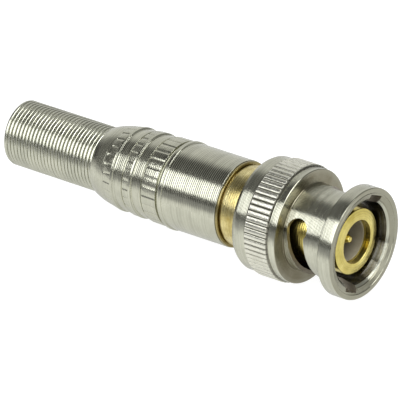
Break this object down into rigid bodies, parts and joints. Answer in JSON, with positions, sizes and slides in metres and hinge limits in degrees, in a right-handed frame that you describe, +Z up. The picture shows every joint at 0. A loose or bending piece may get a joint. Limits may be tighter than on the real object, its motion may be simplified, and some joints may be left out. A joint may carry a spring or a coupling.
{
  "type": "bayonet coaxial cable plug",
  "caption": "Coaxial cable plug with a knurled two-slot bayonet coupling nut, a screw-on rear shell and a coiled spring strain relief.",
  "frame": {"origin": "centre of the outer contact's front face, on the plug's axis", "axes": "+X out of the mating end along the plug's axis, +Z up, with the plug lying on its side"},
  "size_m": [0.0516, 0.0144, 0.0144],
  "materials": {
    "nickel": "bright nickel plating over turned brass",
    "gold": "thin gold plating over turned brass",
    "insulator": "moulded, off-white seen in shadow",
    "silicone": "moulded silicone",
    "spring_steel": "plated spring steel",
    "sleeve": "thin extruded tube"
  },
  "bodies": {
    "plug": {"outer_contact": "gold", "front_insulator": "insulator", "rear_insulator": "insulator", "centre_pin": "gold", "gasket": "silicone", "wave_washer": "spring_steel", "rear_body": "gold", "cable_clamp": "gold"},
    "thrust_washer": {"thrust_washer": "spring_steel"},
    "nut": {"coupling_nut": "nickel"},
    "sleeve": {"insulating_tube": "sleeve"},
    "shell": {"rear_shell": "nickel", "strain_relief_spring": "spring_steel"}
  },
  "joints": [
    {"name": "nut_slide", "type": "slide", "parent": "plug", "child": "thrust_washer", "axis": [1, 0, 0], "range_m": [0, 0.0004], "stiffness_N_per_m": 20000, "springref_m": -0.0004, "deforming": ["wave_washer"]},
    {"name": "nut_turn", "type": "hinge", "parent": "thrust_washer", "child": "nut", "pos_m": [0, 0, 0], "axis": [1, 0, 0], "continuous": true},
    {"name": "shell_travel", "type": "slide", "parent": "plug", "child": "sleeve", "axis": [-1, 0, 0], "range_m": [0, 0.0045]},
    {"name": "shell_turn", "type": "hinge", "parent": "sleeve", "child": "shell", "pos_m": [0, 0, 0], "axis": [-1, 0, 0], "range_deg": [0, 2160]}
  ],
  "couplings": [
    {"joint": "shell_travel", "follows": "shell_turn", "m_per_rad": 0.00011937}
  ]
}
